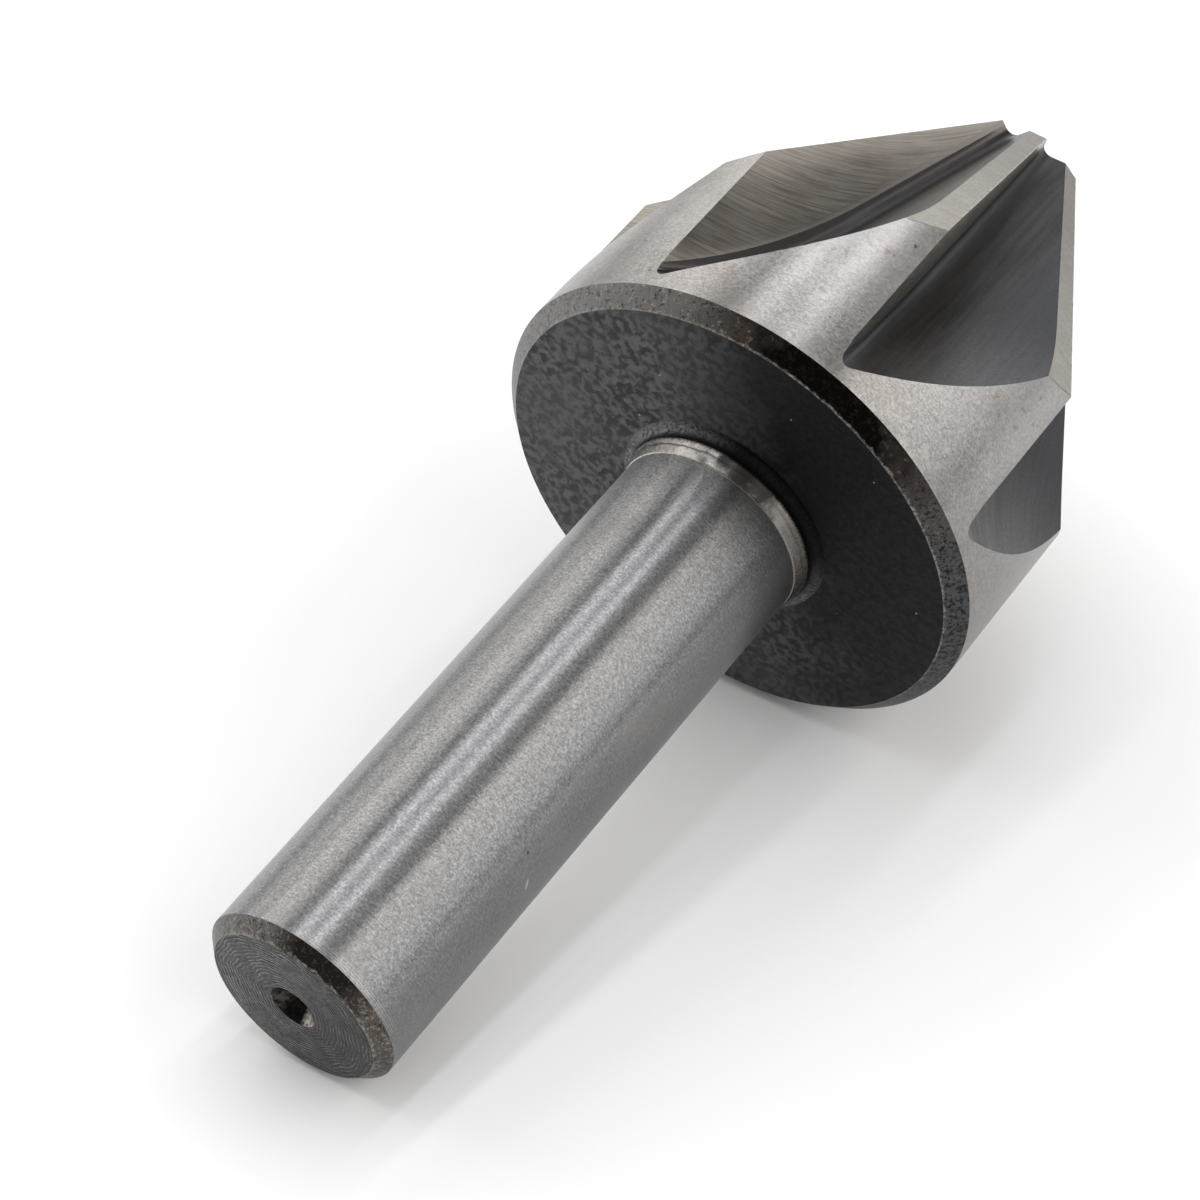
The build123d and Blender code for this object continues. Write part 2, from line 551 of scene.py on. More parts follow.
def scaled_finish(scene, name, edge, pale, darkest, glints, cool_share, fineness, bareness):
    """Dark scale on a chamfer, with painted shade darkest on one side, painted light on another
    and wear along its inner edge.

    edge is the inner edge's height, pale the colour of the side with painted light, darkest the
    shade of the side with painted shade and glints the share of flecks that it keeps. cool_share
    is how much of the third side is bluish, fineness the flecks' size, and bareness how many there are.
    """
    scale = tuple(scene.mill_colours.scale)
    dull_steel = (0.11, 0.108, 0.105)
    cool_scale = (0.07, 0.073, 0.079)
    fleck = (0.34, 0.325, 0.3)
    pore = (0.014, 0.012, 0.011)
    worn_edge = (0.34, 0.315, 0.285)
    f = Finish(name)
    place = f.place()
    height = f.parts(place)[2]
    grain = f.noise(place, 3.6, 3.0, 0.8)
    flecks = f.noise(f.warped(place, 2.0, 0.4), fineness, 3.0, 0.7)
    patches = f.noise(place, 0.5, 3.0, 0.6)
    uneven = f.between(patches, 0.3, 0.7, -0.07, 0.07)
    # Painted light on the side towards -98 degrees, and painted shade on the side towards 3 degrees.
    painted_light_side = f.plus(f.facing(place, -98), uneven)
    cool = f.plus(f.times(f.facing(place, 85), cool_share), uneven)
    painted_shade_side = f.plus(f.facing(place, 3), f.times(uneven, 0.5))
    lit = f.between(flecks, 0.57 - bareness, 0.67 - bareness, 0.0, 0.65)
    lit = f.times(lit, f.between(painted_shade_side, 0.82, 0.97, 1.0, glints))
    lit = f.times(lit, f.between(cool, 0.3, 0.8, 1.0, 0.15))
    pores = f.minus(grain, f.between(painted_shade_side, 0.1, 0.7, 0.0, 0.07))
    pores = f.between(pores, 0.47, 0.58, 0.0, 0.85)
    cool_pores = f.times(f.between(cool, 0.5, 0.8), f.between(grain, 0.44, 0.54, 0.0, 0.5))
    pores = f.times(f.plus(pores, cool_pores), f.between(painted_light_side, 0.5, 0.9, 1.0, 0.6))
    ragged = f.plus(height, f.between(f.noise(place, 2.0, 3.0, 0.6), 0.3, 0.7, -0.07, 0.07))
    broken = f.times(f.line(ragged, edge, 0.1), f.between(grain, 0.4, 0.56, 0.8, 0.2))
    colour = f.mix(f.between(patches, 0.45, 0.7, 0.0, 0.6), shade(scale, 1.25), dull_steel)
    colour = f.over(colour, pale, painted_light_side, 0.1, 0.95, 0.0, 0.95)
    colour = f.over(colour, cool_scale, cool, 0.5, 0.8, 0.0, 0.9)
    colour = f.over(colour, shade(scale, darkest), painted_shade_side, 0.82, 0.97, 0.0, 0.99)
    colour = f.mix(lit, colour, fleck)
    colour = f.mix(pores, colour, pore)
    colour = f.mix(broken, colour, worn_edge)
    return f.done(colour, f.between(grain, 0.3, 0.7, 0.5, 0.36), f.bump(grain, 0.7, 0.06))


def scaled_end_finish(scene):
    return scaled_finish(
        scene,
        SCALED_END,
        edge=0.03,
        pale=(0.17, 0.165, 0.158),
        darkest=0.2,
        glints=0.12,
        cool_share=0.4,
        fineness=4.6,
        bareness=0.04,
    )


def scaled_back_finish(scene):
    return scaled_finish(
        scene,
        SCALED_BACK,
        edge=scene.mill_shank.length / MM + 0.03,
        pale=(0.21, 0.208, 0.207),
        darkest=0.04,
        glints=0.03,
        cool_share=1.0,
        fineness=3.0,
        bareness=0.0,
    )


def drilled_hole_finish(scene):
    black = grey(0.004)
    f = Finish(DRILLED_HOLE)
    place = f.place()
    depth = f.parts(place)[2]
    grain = f.noise(place, 3.5, 3.0, 0.7)
    patchy = f.between(grain, 0.4, 0.6)
    painted_dim_side = f.mix(patchy, grey(0.012), (0.075, 0.071, 0.066))
    painted_bright_side = f.mix(patchy, (0.5, 0.47, 0.41), (0.1, 0.09, 0.08))
    colour = f.mix(f.between(grain, 0.4, 0.65), black, (0.011, 0.01, 0.009))
    # Painted light and shade: the hole is drawn dim on the side towards -95 degrees and lit on the side
    # towards 95 degrees.
    colour = f.over(colour, painted_dim_side, f.facing(place, -95), 0.3, 0.8)
    colour = f.over(colour, painted_bright_side, f.facing(place, 95), 0.6, 0.85)
    # Painted shade: deeper in the hole, from 0.8 mm up, it is drawn black.
    colour = f.over(colour, black, depth, 0.8, 1.1, 0.0, 0.95)
    return f.done(colour, 0.32, f.bump(grain, 0.5, 0.04))


def ground_collar_finish(scene):
    sizes = scene.mill_shank
    low = (sizes.length - sizes.collar_length) / MM
    f = Finish(GROUND_COLLAR)
    place = f.place()
    grain = f.noise(place, 4.0, 3.0, 0.65)
    patches = f.noise(place, 0.9, 3.0, 0.6)
    rings = f.noise(f.place((0.4, 0.4, 9.0)), 1.0, 3.0, 0.6)
    uneven = f.between(patches, 0.3, 0.7, -0.06, 0.06)
    height = f.plus(f.parts(place)[2], f.between(patches, 0.3, 0.7, -0.05, 0.05))
    painted_lit_side = f.plus(f.facing(place, -60), uneven)
    painted_shade_side = f.plus(f.facing(place, -1), uneven)
    colour = f.mix(f.between(grain, 0.35, 0.65), (0.5, 0.475, 0.445), (0.74, 0.705, 0.66))
    # Painted shade: the lower part of the band is drawn darker, with a thin dark line across it.
    colour = f.over(colour, (0.2, 0.192, 0.182), height, low + 0.2, low + 0.7, 0.3, 0.0)
    colour = f.mix(f.line(height, low + 0.62, 0.09), colour, (0.1, 0.094, 0.087))
    colour = f.over(colour, (0.2, 0.18, 0.155), patches, 0.56, 0.72, 0.0, 0.4)
    # Painted light and shade: the side towards -60 degrees stays light, the rest is drawn darker, and
    # darkest towards -1 degrees.
    colour = f.over(colour, (0.15, 0.138, 0.122), painted_lit_side, 0.55, 0.85, 0.8, 0.0)
    colour = f.over(colour, (0.025, 0.022, 0.02), painted_shade_side, 0.9, 0.99, 0.0, 0.93)
    normal = f.bump(rings, 0.35, 0.015)
    normal = f.bump(grain, 0.25, 0.015, normal)
    f.ground_round_the_axis(0.7)
    return f.done(colour, f.between(grain, 0.3, 0.7, 0.24, 0.32), normal)


def grainy_root_finish(scene):
    root = (scene.mill_shank.length - scene.mill_shank.root_radius) / MM
    f = Finish(GRAINY_ROOT)
    place = f.place()
    height = f.parts(place)[2]
    grain = f.noise(place, 4.0, 4.0, 0.75)
    patches = f.noise(place, 1.2, 3.0, 0.6)
    colour = f.mix(f.between(grain, 0.38, 0.62), (0.04, 0.04, 0.041), (0.24, 0.24, 0.242))
    colour = f.over(colour, (0.07, 0.07, 0.072), patches, 0.4, 0.7, 0.0, 0.5)
    # Painted shade: the fillet is drawn darker low in its corner by the collar, and near black on the
    # side towards 25 degrees.
    colour = f.over(colour, grey(0.012), height, root + 0.22, root + 0.48, 0.92, 0.0)
    colour = f.over(colour, grey(0.004), f.facing(place, 25), 0.1, 0.8, 0.0, 0.97)
    return f.done(colour, 0.5, f.bump(grain, 0.8, 0.08))


def oxide_back_finish(scene):
    oxide = tuple(scene.mill_colours.oxide)
    painted_shade = (0.0105, 0.0105, 0.0128)
    painted_deep_shade = (0.0045, 0.0045, 0.0056)
    f = Finish(OXIDE_BACK)
    place = f.place()
    mottle = f.noise(f.warped(place, 1.1, 0.7), 1.9, 3.0, 0.5)
    grain = f.noise(place, 5.0, 3.0, 0.65)
    wide = f.noise(place, 0.15, 2.0)
    specks = scattered_pits(f, spacing=2.2, size=0.075)
    uneven = f.between(f.noise(place, 0.3, 3.0, 0.6), 0.3, 0.7, -1.5, 1.5)
    # Painted shade: the back face is drawn darker, in bluish mottles, towards 50 degrees round the
    # axis.
    painted_shade_side = f.plus(f.towards(place, 50), uneven)
    painted_shade_mottle = f.mix(f.between(f.noise(place, 2.6, 3.0, 0.7), 0.4, 0.6), painted_shade, painted_deep_shade)
    colour = f.mix(f.between(mottle, 0.42, 0.58), shade(oxide, 0.38), shade(oxide, 1.36))
    colour = f.over(colour, shade(oxide, 1.05), wide, 0.4, 0.62, 0.0, 0.5)
    colour = f.over(colour, shade(oxide, 0.5), grain, 0.45, 0.75, 0.0, 0.4)
    colour = f.over(colour, painted_shade_mottle, painted_shade_side, -0.5, 6.6, 0.0, 0.95)
    colour = f.mix(f.times(specks, 0.8), colour, grey(0.45))
    normal = f.bump(mottle, 0.4, 0.05)
    normal = f.bump(grain, 0.4, 0.025, normal)
    return f.done(colour, f.between(mottle, 0.35, 0.65, 0.55, 0.44), normal, metallic=0.8)


def ground_head_finish(scene):
    red, green, blue = scene.mill_colours.ground_steel
    steel = (1.3 * red, 1.26 * green, 1.22 * blue)
    back = scene.mill_shank.length / MM
    stain = (0.29, 0.255, 0.215)
    pale_patch = (0.6, 0.555, 0.49)
    rust_spot = (0.24, 0.18, 0.135)
    fresh_scratch = (0.65, 0.63, 0.6)
    f = Finish(GROUND_HEAD)
    place = f.place()
    height = f.parts(place)[2]
    dashes = f.noise(f.place((3.4, 3.4, 7.5)), 1.0, 3.0, 0.68)
    grain = f.noise(place, 7.0, 2.0, 0.7)
    stains = f.noise(place, 0.25, 4.0, 0.65)
    rust = f.noise(f.warped(place, 0.8, 1.0), 1.1, 4.0, 0.75)
    pits = scattered_pits(f, spacing=2.6, size=0.14)
    scratches = light_scratches(f, (0.5, 0.2, 0.6), spacing=2.8)
    colour = f.mix(f.between(dashes, 0.34, 0.68), shade(steel, 0.74), shade(steel, 1.28))
    colour = f.over(colour, shade(steel, 0.45), grain, 0.5, 0.7, 0.0, 0.6)
    colour = f.over(colour, shade(steel, 1.6), grain, 0.3, 0.42, 0.5, 0.0)
    # Painted shade near the back face and painted light towards the cone, drawn by height.
    colour = f.over(colour, shade(steel, 0.5), height, back + 0.5, back + 5.0, 0.3, 0.0)
    colour = f.over(colour, shade(steel, 1.6), height, back + 4.0, back + 9.0, 0.0, 0.3)
    colour = f.over(colour, stain, stains, 0.5, 0.72, 0.0, 0.45)
    colour = f.over(colour, pale_patch, rust, 0.34, 0.47, 0.3, 0.0)
    colour = f.over(colour, rust_spot, rust, 0.6, 0.68, 0.0, 0.6)
    # Painted shade: the flank towards 76 degrees is drawn darker.
    colour = f.over(colour, shade(steel, 0.45), f.facing(place, 76), 0.74, 0.88, 0.0, 0.45)
    colour = f.mix(f.times(scratches, 0.5), colour, fresh_scratch)
    colour = f.mix(f.times(pits, 0.75), colour, shade(steel, 0.25))
    normal = f.bump(dashes, 0.4, 0.01)
    normal = f.bump(grain, 0.35, 0.016, normal)
    f.ground_round_the_axis(0.7)
    return f.done(colour, f.between(dashes, 0.3, 0.7, 0.29, 0.38), normal)


def ground_land_finish(scene):
    rim = scene.mill_head.diameter / 2 / MM
    stain = (0.33, 0.295, 0.255)
    painted_shade_at_nose = (0.24, 0.22, 0.198)
    dark_rim = (0.12, 0.11, 0.1)
    bright_edge = (0.55, 0.53, 0.48)
    chip = (0.05, 0.045, 0.04)
    f = Finish(GROUND_LAND)
    place = f.tooth_place()
    _, side, height = f.parts(place)
    grain = f.noise(place, 4.5, 3.0, 0.65)
    marks = f.noise(f.stretch(place, (1.0, 0.5, 7.0)), 1.0, 3.0, 0.65)
    patches = f.noise(place, 0.5, 3.0, 0.6)
    back = f.times(side, -1.0)
    ragged = f.plus(back, f.between(f.noise(place, 2.5, 3.0, 0.7), 0.3, 0.75, -0.07, 0.07))
    chips = f.between(f.noise(place, 2.2, 2.0, 0.6), 0.6, 0.66)
    chips = f.times(f.between(back, 0.0, 0.14, 1.0, 0.0), chips)
    colour = f.mix(f.between(marks, 0.3, 0.7), (0.37, 0.343, 0.308), (0.52, 0.49, 0.445))
    colour = f.over(colour, (0.25, 0.232, 0.207), grain, 0.4, 0.75, 0.0, 0.45)
    colour = f.over(colour, stain, patches, 0.5, 0.75, 0.0, 0.3)
    # Painted shade: the land is drawn darker towards the nose.
    colour = f.over(colour, painted_shade_at_nose, height, 58.0, 70.0, 0.0, 0.6)
    colour = f.over(colour, dark_rim, f.radius(place), rim - 0.12, rim - 0.03, 0.0, 0.7)
    colour = f.over(colour, bright_edge, ragged, 0.0, 0.1, 0.8, 0.0)
    colour = f.mix(chips, colour, chip)
    normal = f.bump(marks, 0.35, 0.014)
    normal = f.bump(grain, 0.25, 0.016, normal)
    return f.done(colour, f.between(grain, 0.3, 0.7, 0.36, 0.46), normal)


def ground_rake_finish(scene):
    stain = (0.37, 0.32, 0.262)
    deep_score = (0.17, 0.145, 0.12)
    bevelled_step = (0.33, 0.31, 0.28)
    f = Finish(GROUND_RAKE)
    place = f.tooth_place()
    x, side, height = f.parts(place)
    across = f.minus(x, RAKE_MARKS_CENTRE[0])
    along = f.minus(height, RAKE_MARKS_CENTRE[1])
    reach = f.hypotenuse(across, along)
    swept = f.times(f.maths("ARCTAN2", along, across), 6.0)
    lines = f.noise(f.joined(f.times(reach, 9.0), swept), 1.0, 4.0, 0.7)
    scores = f.noise(f.joined(f.times(reach, 5.0), f.times(swept, 1.1)), 1.0, 3.0, 0.6)
    patches = f.noise(place, 0.35, 3.0, 0.6)
    scored = f.times(f.between(scores, 0.53, 0.64), f.between(height, 50.0, 64.0, 0.55, 0.2))
    step = f.times(f.between(side, 0.01, 0.03), f.between(height, 46.0, 56.0, 0.15, 0.9))
    colour = f.mix(f.between(lines, 0.34, 0.66), (0.32, 0.29, 0.255), (0.55, 0.51, 0.455))
    colour = f.over(colour, stain, patches, 0.4, 0.7, 0.0, 0.5)
    colour = f.mix(scored, colour, deep_score)
    colour = f.mix(step, colour, bevelled_step)
    normal = f.bump(lines, 0.5, 0.02)
    normal = f.bump(f.noise(place, 5.0, 3.0, 0.6), 0.2, 0.012, normal)
    return f.done(colour, f.between(lines, 0.3, 0.7, 0.3, 0.42), normal)


def milled_flute_finish(scene):
    path = flute_path(scene.mill_shank, scene.mill_head, scene.mill_teeth)
    painted_root_highlight = (0.15, 0.152, 0.159)
    ground_corner = (0.28, 0.265, 0.25)
    f = Finish(MILLED_FLUTE)
    place = f.tooth_place()
    depth, run = f.along_wheel(place, path)
    side = f.parts(place)[1]
    drawn = f.joined(f.times(depth, 3.0), f.times(run, 0.16), f.times(side, 4.0))
    drawn_wide = f.joined(f.times(depth, 0.6), f.times(run, 0.08), f.times(side, 0.8))
    marks = f.noise(drawn, 1.0, 4.0, 0.65)
    broad = f.noise(drawn_wide, 1.0, 2.0)
    grain = f.noise(place, 4.5, 3.0, 0.7)
    specks = f.between(f.spots(place, 0.35), 0.02, 0.035, 1.0, 0.0)
    brown = f.times(f.between(side, 1.5, 6.5, 1.0, 0.0), f.between(broad, 0.38, 0.6, 0.35, 1.0))
    stained = f.mix(f.between(marks, 0.42, 0.6), (0.02, 0.0165, 0.015), (0.066, 0.056, 0.052))
    root = f.times(f.between(side, 0.2, 0.5), f.between(side, 0.8, 1.5, 0.75, 0.0))
    colour = f.mix(f.between(marks, 0.35, 0.65), (0.088, 0.089, 0.094), (0.106, 0.107, 0.113))
    colour = f.mix(f.times(brown, 0.85), colour, stained)
    colour = f.over(colour, (0.05, 0.05, 0.051), grain, 0.45, 0.75, 0.0, 0.35)
    # Painted highlight: a lighter strip along the flute's root.
    colour = f.mix(root, colour, painted_root_highlight)
    colour = f.over(colour, ground_corner, side, 0.11, 0.16, 0.8, 0.0)
    colour = f.mix(f.times(specks, 0.7), colour, (0.5, 0.5, 0.48))
    normal = f.bump(marks, 0.14, 0.02)
    normal = f.bump(grain, 0.25, 0.015, normal)
    return f.done(colour, f.between(grain, 0.3, 0.7, 0.34, 0.46), normal, metallic=0.95)


FINISHES = {
    GROUND_SHANK: ground_shank_finish,
    TURNED_END: turned_end_finish,
    SCALED_END: scaled_end_finish,
    SCALED_BACK: scaled_back_finish,
    DRILLED_HOLE: drilled_hole_finish,
    GROUND_COLLAR: ground_collar_finish,
    GRAINY_ROOT: grainy_root_finish,
    OXIDE_BACK: oxide_back_finish,
    GROUND_HEAD: ground_head_finish,
    GROUND_LAND: ground_land_finish,
    GROUND_RAKE: ground_rake_finish,
    MILLED_FLUTE: milled_flute_finish,
}


def finish_material(name):
    """The named finish, made the first time that it is asked for."""
    return bpy.data.materials.get(name) or FINISHES[name](bpy.context.scene)


# ---------------------------------------------------------------- mesh building


def object_from(bm, name):
    mesh = bpy.data.meshes.new(name)
    bm.to_mesh(mesh)
    bm.free()
    made = bpy.data.objects.new(name, mesh)
    bpy.context.scene.collection.objects.link(made)
    return made


def leaning_inwards(angle):
    """The directions along and out of a path that leans from the axis at this angle."""
    along = Vector((-math.sin(angle), 0, math.cos(angle)))
    outward = Vector((math.cos(angle), 0, math.sin(angle)))
    return along, outward


def turned_profile(shank, head):
    """The corners of the turned profile as (radius, height, rounding)."""
    r = shank.diameter / 2
    collar = r + shank.collar_rise
    head_r = head.diameter / 2
    mouth = shank.hole_mouth / 2
    pilot = shank.hole_pilot / 2
    cone_depth = (mouth - pilot) / math.tan(CENTRE_HALF_ANGLE)
    pilot_end = cone_depth + shank.hole_pilot_length
    point_end = pilot_end + pilot / math.tan(DRILL_HALF_ANGLE)
    run_out = shank.length - shank.collar_length
    cone_start = shank.length + head.cylinder_length
    top = head.overall_length
    nose_r = head_r - (top - cone_start) * math.tan(head.cone_angle / 2)
    edge = head.edge_break
    return [
        (0, point_end, 0),
        (pilot, pilot_end, 0),
        (pilot, cone_depth, 0),
        (mouth, 0, edge),
        (r - shank.end_chamfer, 0, edge),
        (r, shank.end_chamfer, edge),
        (r, run_out, 0),
        (r + edge, run_out + edge, 0),
        (collar, shank.length - shank.root_radius - 2 * edge, edge),
        (collar, shank.length, shank.root_radius),
        (head_r - head.back_chamfer, shank.length, edge),
        (head_r, shank.length + head.back_chamfer, edge),
        (head_r, cone_start, 0),
        (nose_r, top, 0),
        (mouth, top, edge),
        (pilot, top - cone_depth, 0),
        (pilot, top - pilot_end, 0),
        (0, top - point_end, 0),
    ]


def turned_region(radius, height, shank, head):
    """The finish at a place on the turned blank."""
    r = shank.diameter / 2
    near_end = height < shank.end_chamfer * 0.5 or height > head.overall_length * 0.9
    if near_end and radius < shank.hole_mouth / 2 - head.edge_break:
        return DRILLED_HOLE
    if height < 0.5 * head.edge_break or height > head.overall_length - head.edge_break:
        return TURNED_END
    if radius < shank.hole_mouth / 2 + head.edge_break:
        return DRILLED_HOLE
    if height < shank.end_chamfer:
        return SCALED_END
    if height < shank.length - shank.collar_length:
        return GROUND_SHANK
    if height < shank.length - shank.root_radius:
        return GROUND_COLLAR
    if radius < r + shank.collar_rise + shank.root_radius:
        return GRAINY_ROOT
    if height < shank.length + 0.5 * head.edge_break:
        return OXIDE_BACK
    if height < shank.length + head.back_chamfer:
        return SCALED_BACK
    return GROUND_HEAD


def round_corner(bm, corner, offset, steps):
    """Rounds a corner of a flat outline."""
    bmesh.ops.bevel(
        bm,
        geom=[corner],
        offset=offset,
        offset_type="OFFSET",
        affect="VERTICES",
        segments=steps,
        profile=0.5,
        material=-1,
    )


def turned_blank(shank, head):
    """The whole turned bar, spun from its profile."""
    bm = bmesh.new()
    corners = turned_profile(shank, head)
    points = [bm.verts.new((r, 0, z)) for r, z, _ in corners]
    for one, other in zip(points, points[1:]):
        bm.edges.new((one, other))
    for point, (_, _, rounding) in zip(points, corners):
        if rounding:
            steps = FILLET_STEPS if rounding > head.edge_break else EDGE_BREAK_STEPS
            round_corner(bm, point, rounding, steps)
    bmesh.ops.spin(
        bm,
        geom=bm.verts[:] + bm.edges[:],
        cent=(0, 0, 0),
        axis=(0, 0, 1),
        dvec=(0, 0, 0),
        angle=FULL_TURN,
        steps=head.steps,
        use_merge=True,
        use_normal_flip=False,
        use_duplicate=False,
    )
    bmesh.ops.remove_doubles(bm, verts=bm.verts[:], dist=MERGE_DISTANCE)
    bmesh.ops.recalc_face_normals(bm, faces=bm.faces[:])
    names = []
    for face in bm.faces:
        middle = face.calc_center_median()
        name = turned_region(middle.xy.length, middle.z, shank, head)
        if name not in names:
            names.append(name)
        face.material_index = names.index(name)
    blank = object_from(bm, "turned_blank")
    for name in names:
        blank.data.materials.append(finish_material(name))
    return blank


class WheelPath:
    """Where a wheel's rim runs: straight past the nose, then up out of the work at the back."""

    def __init__(self, shank, head, slope, core, wheel, back_land):
        self.slope = slope
        self.along, self.outward = leaning_inwards(slope)
        self.radius = wheel / 2
        at_nose = Vector((core / 2, 0, head.overall_length))
        way_out = Vector((head.diameter / 2, 0, shank.length + back_land)) - at_nose
        depth = way_out.dot(self.outward)
        rise = math.sqrt(2 * self.radius * depth - depth**2)
        self.turning = at_nose + self.along * (way_out.dot(self.along) + rise)
        self.centre = self.turning + self.outward * self.radius
        self.straight = (head.overall_length - self.turning.z + head.diameter / 2) / math.cos(slope)


def swept_by_wheel(section, rounding, path, name):
    """The solid that a wheel sweeps.

    The section's points are (across, outward), with the wheel's rim at outward 0.
    """
    bm = bmesh.new()
    corners = [bm.verts.new(path.turning + Vector((0, a, 0)) + path.outward * b) for a, b in section]
    bm.faces.new(corners)
    if rounding:
        round_corner(bm, corners[0], rounding, FLUTE_ROOT_STEPS)
    face = bm.faces[:][0]
    front = bmesh.ops.extrude_face_region(bm, geom=[face], use_keep_orig=True)
    moved = [v for v in front["geom"] if isinstance(v, bmesh.types.BMVert)]
    bmesh.ops.translate(bm, verts=moved, vec=path.along * path.straight)
    bmesh.ops.spin(
        bm,
        geom=[face, *face.edges, *face.verts],
        cent=path.centre,
        axis=(0, -1, 0),
        dvec=(0, 0, 0),
        angle=(math.radians(90) - path.slope) / 2,
        steps=WHEEL_RISE_STEPS,
        use_merge=False,
        use_normal_flip=False,
        use_duplicate=False,
    )
    bmesh.ops.remove_doubles(bm, verts=bm.verts[:], dist=PATH_MERGE_DISTANCE)
    bmesh.ops.recalc_face_normals(bm, faces=bm.faces[:])
    return object_from(bm, name)


def flute_path(shank, head, tooth):
    """The path of the cutter's rim. The flutes' milling marks follow it too."""
    return WheelPath(
        shank, head, tooth.flute_slope, tooth.flute_core, tooth.flute_cutter, tooth.flute_back_land
    )


def flute_cutter(shank, head, tooth):
    """The chip space in front of a tooth: a steep wall, a round root and a broad back."""
    half = tooth.flute_angle / 2
    sunk = tooth.flute_root * (1 / math.tan(half) - 1)
    reach = head.diameter / 2
    section = [
        (tooth.rake_bite, -sunk),
        (tooth.rake_bite, reach),
        (tooth.rake_bite + reach, reach),
        (tooth.rake_bite + reach, reach / math.tan(tooth.flute_angle) - sunk),
    ]
    rounding = tooth.flute_root / math.tan(half)
    return swept_by_wheel(section, rounding, flute_path(shank, head, tooth), "flute_cutter")


def rake_wheel(shank, head, tooth):
    """The thin layer ground off the wall, down to a bevelled step above the root."""
    section = [
        (0, tooth.rake_step),
        (0, head.diameter / 2),
        (2 * tooth.rake_bite, head.diameter / 2),
        (2 * tooth.rake_bite, -tooth.rake_step),
    ]
    path = WheelPath(
        shank, head, tooth.rake_slope, tooth.rake_core, tooth.rake_wheel, tooth.rake_back_land
    )
    return swept_by_wheel(section, 0, path, "rake_wheel")


def relief_wheel(shank, head, tooth):
    """The wedge ground off behind a cutting edge."""
    cone_start = shank.length + head.cylinder_length
    cone_length = head.overall_length - cone_start
    half_angle = head.cone_angle / 2
    reach = head.diameter / 2
    nose_r = reach - cone_length * math.tan(half_angle)
    along, outward = leaning_inwards(half_angle)
    middle = Vector(((reach + nose_r) / 2, 0, cone_start + cone_length / 2))
    out_of_land = Matrix.Rotation(-tooth.relief_angle, 3, along) @ outward
    sideways = out_of_land.cross(along)
    bm = bmesh.new()
    bmesh.ops.create_cube(bm, size=1.0)
    bmesh.ops.scale(bm, verts=bm.verts[:], vec=(2 * cone_length, reach, reach))
    bmesh.ops.translate(bm, verts=bm.verts[:], vec=(0, 0, reach / 2))
    axes = Matrix((along, sideways, out_of_land)).transposed().to_4x4()
    bmesh.ops.transform(bm, matrix=axes, verts=bm.verts[:])
    bmesh.ops.translate(bm, verts=bm.verts[:], vec=middle - outward * tooth.relief_bite)
    bmesh.ops.recalc_face_normals(bm, faces=bm.faces[:])
    return object_from(bm, "relief_wheel")


def cut_all_teeth(blank, wheels, count):
    """Cuts every wheel's path into the blank at every tooth."""
    group = bpy.data.collections.new("wheel_paths")
    bpy.context.scene.collection.children.link(group)
    for wheel, finish in wheels:
        wheel.data.materials.append(finish_material(finish))
        bpy.context.scene.collection.objects.unlink(wheel)
        for k in range(count):
            path = wheel.copy()
            path.data = wheel.data.copy()
            path.data.transform(Matrix.Rotation(FULL_TURN * k / count, 4, "Z"))
            group.objects.link(path)
    cut = blank.modifiers.new("cut", "BOOLEAN")
    cut.operation = "DIFFERENCE"
    cut.solver = "EXACT"
    cut.operand_type = "COLLECTION"
    cut.collection = group
    cut.material_mode = "TRANSFER"
    shown = bpy.context.evaluated_depsgraph_get()
    mesh = bpy.data.meshes.new_from_object(blank.evaluated_get(shown))
    for path in list(group.objects):
        bpy.data.objects.remove(path)
    for wheel, _ in wheels:
        bpy.data.objects.remove(wheel)
    bpy.data.collections.remove(group)
    bpy.data.objects.remove(blank)
    return mesh


def store_tooth_places(bm, names, count):
    """Gives each face's corners their place in the frame of its own tooth."""
    layer = bm.loops.layers.float_vector.new("tooth_place")
    step = FULL_TURN / count
    slack = math.radians(2)
    for face in bm.faces:
        middle = face.calc_center_median()
        angle = math.atan2(middle.y, middle.x)
        if names[face.material_index] == GROUND_LAND:
            k = math.ceil((angle - slack) / step)
        else:
            k = math.floor((angle + slack) / step)
        back = Matrix.Rotation(-k * step, 3, "Z")
        for loop in face.loops:
            loop[layer] = back @ loop.vert.co


def mark_edges(bm):
    """Smooth faces, with sharp edges where the surface turns a corner or changes its finish."""
    for face in bm.faces:
        face.smooth = True
    for edge in bm.edges:
        if len(edge.link_faces) != 2:
            continue
        one, other = edge.link_faces
        turn = one.normal.angle(other.normal, 0.0)
        same_finish = one.material_index == other.material_index
        edge.smooth = turn < (SHARP_TURN if same_finish else SHARP_TURN_BETWEEN_FINISHES)


# ---------------------------------------------------------------- operators


